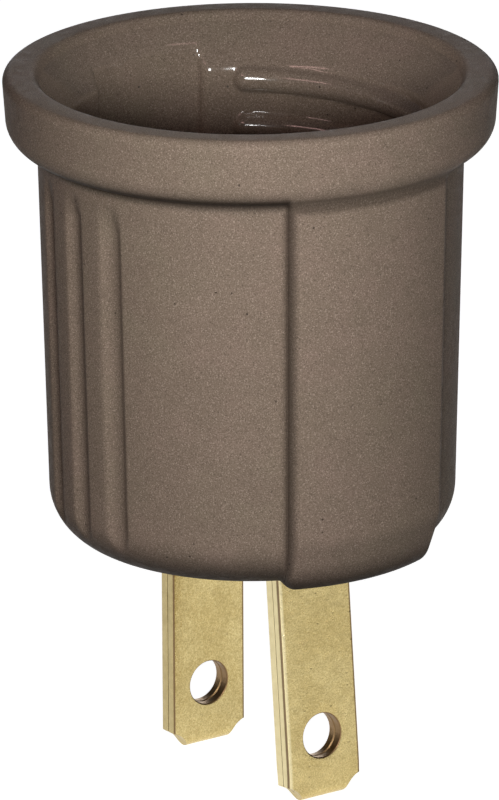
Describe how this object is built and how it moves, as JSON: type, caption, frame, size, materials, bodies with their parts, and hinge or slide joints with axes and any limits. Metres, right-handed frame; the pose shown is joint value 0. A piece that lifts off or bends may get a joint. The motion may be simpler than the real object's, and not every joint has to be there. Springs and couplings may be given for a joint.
{
  "type": "lamp socket adapter",
  "caption": "Outlet-to-lampholder adapter: a moulded cup with a medium screw socket inside and two folded brass plug blades on its closed end.",
  "frame": {"origin": "centre of the flat end of the housing, which seats against the outlet", "axes": "+Z along the socket's axis towards the open mouth; the blades point along -Z, side by side along Y; the two raised panels face -Y and +Y"},
  "size_m": [0.036, 0.036, 0.0536],
  "materials": {
    "housing": "satin grey-brown thermoset moulding with a fine speckle",
    "blade": "rolled brass strip, lightly scratched and tarnished"
  },
  "bodies": {
    "root": {"housing": "housing", "centre_contact_blade": "blade", "side_contact_blade": "blade"}
  },
  "joints": []
}
